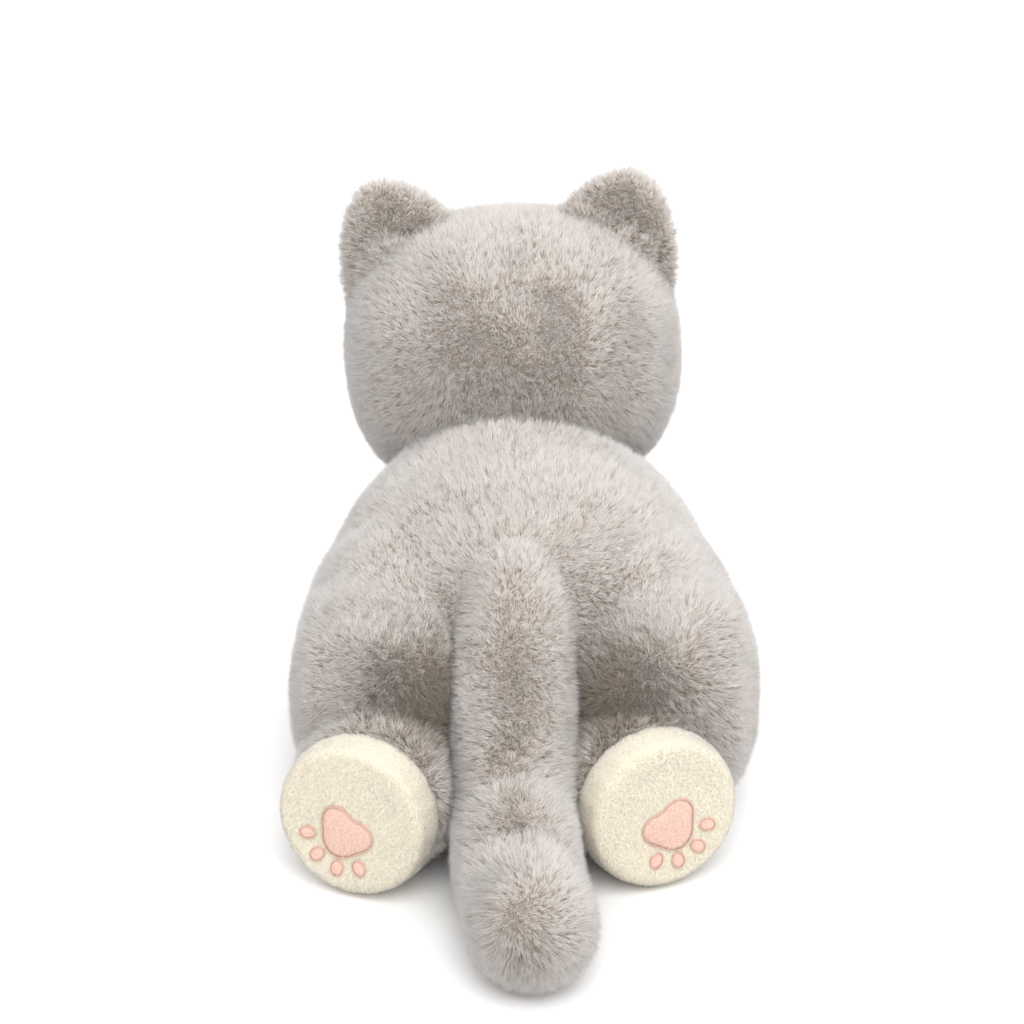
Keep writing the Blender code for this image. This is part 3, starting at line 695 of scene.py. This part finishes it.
def make_mouth():
    """A short line down from the nose and a curved line to each side of it."""
    low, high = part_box("nose")
    start = Vector(((low.x + high.x) / 2, low.y, low.z))
    front = Vector((0, -1, 0))
    lift = 0.0018
    line = [start + Vector((0, 0, -0.0009 * step)) for step in range(10)]
    drop = line[-1]
    points = [draped(TREES["muzzle"], point, front, lift) for point in line]
    thread("mouth_line_middle", points, "head", "cream_minky", DARK_THREAD, radius=0.0008)
    for word, side in SIDES:
        points = []
        for degrees in np.linspace(180, 30, 16):
            angle = math.radians(degrees)
            arc = Vector((side * 0.0075 * (1 + math.cos(angle)), 0, -0.0055 * math.sin(angle)))
            points.append(draped(TREES["muzzle"], drop + arc, front, lift))
        thread(f"mouth_line_{word}", points, "head", "cream_minky", DARK_THREAD, radius=0.0008)


# ---- Fur and nap on the skins --------------------------------------------------------------------

def clear_roots(part, density, seed, others=(), depth=0.003):
    """Roots on a skin that aren't deep inside the neighbouring skins."""
    roots, normals = scattered(SKINS[part], density, np.random.default_rng(seed))
    keep = roots[:, 2] > 0.0012
    for other in others:
        close = np.where(keep)[0]
        keep[close] = height_over(roots[close], TREES[other]) > -depth
    return roots[keep], normals[keep]


def bell(points, centre, size):
    """1 at a centre, falling smoothly to 0 over the given size."""
    return np.exp(-((np.linalg.norm(points - np.array(centre), axis=1) / size) ** 2))


def head_pile(roots):
    """(keep, length, lean, shade) of the fur on the head: short on the face, parted round eyes and muzzle,
    darker at the whorl, with painted shade in the creases at the ears' feet.
    """
    front = ease(-roots[:, 1], 0.135, 0.165)
    length = FUR_LENGTH + (FACE_PILE - FUR_LENGTH) * front
    keep = np.ones(len(roots), bool)
    lean = np.zeros_like(roots)
    for word, _ in SIDES:
        eye = middle(f"eye_{word}")
        radius = half_size(f"eye_{word}").z
        away = roots - np.array(eye)
        distance = np.linalg.norm(away, axis=1)
        keep &= distance > radius * 1.08
        near = np.exp(-((distance / (radius * 2)) ** 2))
        lean += unit(away) * (0.9 * near)[:, None]
        length = length * (1 - 0.45 * near)
    muzzle = middle("muzzle_panel")
    lean += unit(roots - np.array(muzzle)) * (0.8 * bell(roots, muzzle, 0.045))[:, None]
    whorl = middle("head_gusset") + Vector((0, half_size("head_gusset").y, -0.014))
    shade = -0.21 * bell(roots, whorl, 0.034)
    # Painted shade: strands darkened in the creases where the ears are sewn on.
    for word, _ in SIDES:
        shade = shade - 0.30 * bell(roots, PIVOT[f"ear_fold_{word}"], 0.022)
    return keep, length, lean, shade


def tail_shade(roots):
    """A darker line along the top of the tail and a darker whorl at its end."""
    ridge = np.exp(-((roots[:, 0] / 0.007) ** 2)) * ease(roots[:, 1], 0.09, 0.12)
    end = middle("tail_tip_skin") + Vector((0, half_size("tail_tip_skin").y, 0))
    return -0.24 * np.maximum(ridge * ease(roots[:, 2], 0.05, 0.06), bell(roots, end, 0.014))


def torso_pile(roots, normals):
    """(keep, length, lean, shade) of the fur on the body: short and sparse underneath, with painted shade in
    the creases beside the tail.
    """
    under = ease(-normals[:, 2], 0.35, 0.75)
    keep = np.random.default_rng(3).random(len(roots)) > 0.55 * under
    length = FUR_LENGTH + (BELLY_PILE - FUR_LENGTH) * under
    # Painted shade: strands darkened in the creases between the tail root and the haunches.
    tail_crease_shade = sum(bell(roots, (side * 0.040, 0.085, 0.084), 0.032) for _, side in SIDES)
    return keep, length, 0.25 * np.array((0, 1, -0.2)), -0.65 * tail_crease_shade


def leg_pile(leg, word, roots, normals):
    """(keep, length, lean, shade) of the fur on a leg: longer tufts lap over the cream foot, and painted
    shade darkens the hind leg's hollow beside the tail.
    """
    plane = foot_plane(leg, word)
    along = past_plane(roots, plane)
    under = ease(-normals[:, 2], 0.35, 0.75)
    keep = (along < 0.001) & (np.random.default_rng(4).random(len(roots)) > 0.5 * under)
    near = ease(along, -0.020, 0)
    length = (FUR_LENGTH + 0.0015 * near) * (1 - 0.5 * under)
    shade = 0.0
    if leg == "hind_leg":
        # Painted shade: strands darkened in the hollow between the haunch's inner rear and the tail.
        side = dict(SIDES)[word]
        inner = PIVOT[f"hind_leg_lift_{word}"] + Vector((-0.020 * side, 0.050, 0.021))
        shade = -0.85 * bell(roots, inner, 0.034)
    return keep, length, np.outer(0.15 + 0.55 * near, np.array(plane[1])), shade


def fur_of(part, roots, normals):
    """(keep, length, lean, shade) of the fur on any part."""
    everywhere = np.ones(len(roots), bool)
    kind, _, word = part.rpartition("_")
    if part == "torso":
        return torso_pile(roots, normals)
    if part == "head":
        return head_pile(roots)
    if kind in ("hind_leg", "foreleg"):
        return leg_pile(kind, word, roots, normals)
    if part == "tail":
        return everywhere, FUR_LENGTH, (0, 0.2, 0), tail_shade(roots)
    if kind == "ear":
        # Painted shade: the ear's fur darkens towards the crease at its foot.
        return everywhere, EAR_PILE, (0, 0, 0.35), -0.30 * bell(roots, PIVOT[f"ear_fold_{word}"], 0.034)
    return everywhere, FUR_LENGTH, (0, 0, 0), 0.0


def chosen(value, rows, count):
    """The given rows of a value that has one row for each of count roots, or else the value itself."""
    per_root = np.ndim(value) and len(value) == count
    return np.asarray(value)[rows] if per_root else value


def make_fur():
    legs = [f"{leg}_{word}" for leg in ("hind_leg", "foreleg") for word, _ in SIDES]
    ears = [f"ear_{word}" for word, _ in SIDES]
    hidden_by = {"torso": legs, "neck": ["torso", "head"], "head": ["muzzle"], "tail": ["torso"]}
    hidden_by |= {leg: ["torso"] for leg in legs} | {ear: ["head"] for ear in ears}
    seed = 10
    for part, others in hidden_by.items():
        seed += 10
        depth = 0.0005 if part == "head" else 0.003
        roots, normals = clear_roots(part, FUR_DENSITY, seed, others, depth)
        keep, length, lean, shade = fur_of(part, roots, normals)
        rows = np.where(keep)[0]
        length, lean, shade = (chosen(value, rows, len(roots)) for value in (length, lean, shade))
        pieces = pile(f"{part}_fur", roots[rows], normals[rows], FUR, seed, length, FUR_WIDTH, lean=lean,
                      shade=shade)
        for piece in pieces:
            settle(piece, *HOMES[part][:2])
    return seed


def make_naps(seed):
    """Short plush on the feet, the paws, the ear linings and the muzzle."""
    naps = [(f"hind_foot_{word}", CREAM, NAP_LENGTH) for word, _ in SIDES]
    naps += [(f"front_paw_{word}", CREAM, NAP_LENGTH) for word, _ in SIDES]
    naps += [(f"lining_{word}", LINING, NAP_LENGTH) for word, _ in SIDES]
    naps += [("muzzle", CREAM, NAP_LENGTH * 1.2)]
    for part, mat, length in naps:
        seed += 10
        roots, normals = clear_roots(part, NAP_DENSITY, seed)
        for piece in pile(f"{part}_nap", roots, normals, mat, seed, length, NAP_WIDTH, tuft=0.0015):
            settle(piece, *HOMES[part][:2])


def dress_plastic():
    """Eyes, nose and washers keep their CAD shapes and get plastic of their own."""
    for word, _ in SIDES:
        dome, half = middle(f"eye_{word}"), half_size(f"eye_{word}")
        iris = eye_material(f"eye_plastic_{word}", dome - Vector((0, half.y, 0)), half.z)
        frame["nodes"][f"eye_{word}"].material_slots[0].material = iris
    frame["nodes"]["nose"].material_slots[0].material = NOSE_PLASTIC
    for washer in ("eye_left_washer", "eye_right_washer", "nose_washer"):
        frame["nodes"][washer].material_slots[0].material = WASHER_PLASTIC


make_pads()
make_front_toes()
make_mouth()
make_naps(make_fur())
dress_plastic()
for part, (body, slot, nodes) in HOMES.items():
    settle(SKINS[part], body, slot, *nodes)


# ---- Stage -----------------------------------------------------------------------------------

def make_stage():
    """Pale paper floor and background, soft light from above with a weak fill on the face, and a camera."""
    mesh = bpy.data.meshes.new("floor")
    bm = bmesh.new()
    bmesh.ops.create_grid(bm, x_segments=1, y_segments=1, size=6)
    bm.to_mesh(mesh)
    bm.free()
    mat, shader = new_material("floor_paper", 0.9)
    shader.inputs["Base Color"].default_value = (0.9, 0.9, 0.9, 1)
    add_object("floor", mesh, mat)
    world = bpy.data.worlds.new("studio")
    bpy.context.scene.world = world
    world.use_nodes = True
    nodes, links = world.node_tree.nodes, world.node_tree.links
    background = nodes["Background"]
    background.inputs["Color"].default_value = (1, 1, 1, 1)
    path = nodes.new("ShaderNodeLightPath")
    strength = nodes.new("ShaderNodeMapRange")
    strength.inputs["To Min"].default_value = 0.80
    strength.inputs["To Max"].default_value = 1.1
    links.new(path.outputs["Is Camera Ray"], strength.inputs["Value"])
    links.new(strength.outputs["Result"], background.inputs["Strength"])
    for name, energy, turn in (("overhead", 2.25, (-34, -9, 0)), ("front_fill", 0.8, (50, 0, 0))):
        sun = bpy.data.lights.new(name, "SUN")
        sun.angle = math.radians(50)
        sun.energy = energy
        obj = bpy.data.objects.new(name, sun)
        obj.rotation_euler = [math.radians(angle) for angle in turn]
        bpy.context.scene.collection.objects.link(obj)
    camera = bpy.data.objects.new("camera", bpy.data.cameras.new("camera"))
    bpy.context.scene.collection.objects.link(camera)
    target = Vector((0.0015, 0, 0.1412))
    rise = math.radians(26)
    camera.location = target + 1.3944 * Vector((0, math.cos(rise), math.sin(rise)))
    camera.rotation_euler = (target - camera.location).to_track_quat("-Z", "Y").to_euler()
    camera.data.sensor_width = 36
    camera.data.lens = 91.4
    camera.data.clip_start = 0.05
    bpy.context.scene.camera = camera
    bpy.context.scene.view_settings.view_transform = "Standard"


make_stage()
bpy.context.scene.cycles.diffuse_bounces = 8
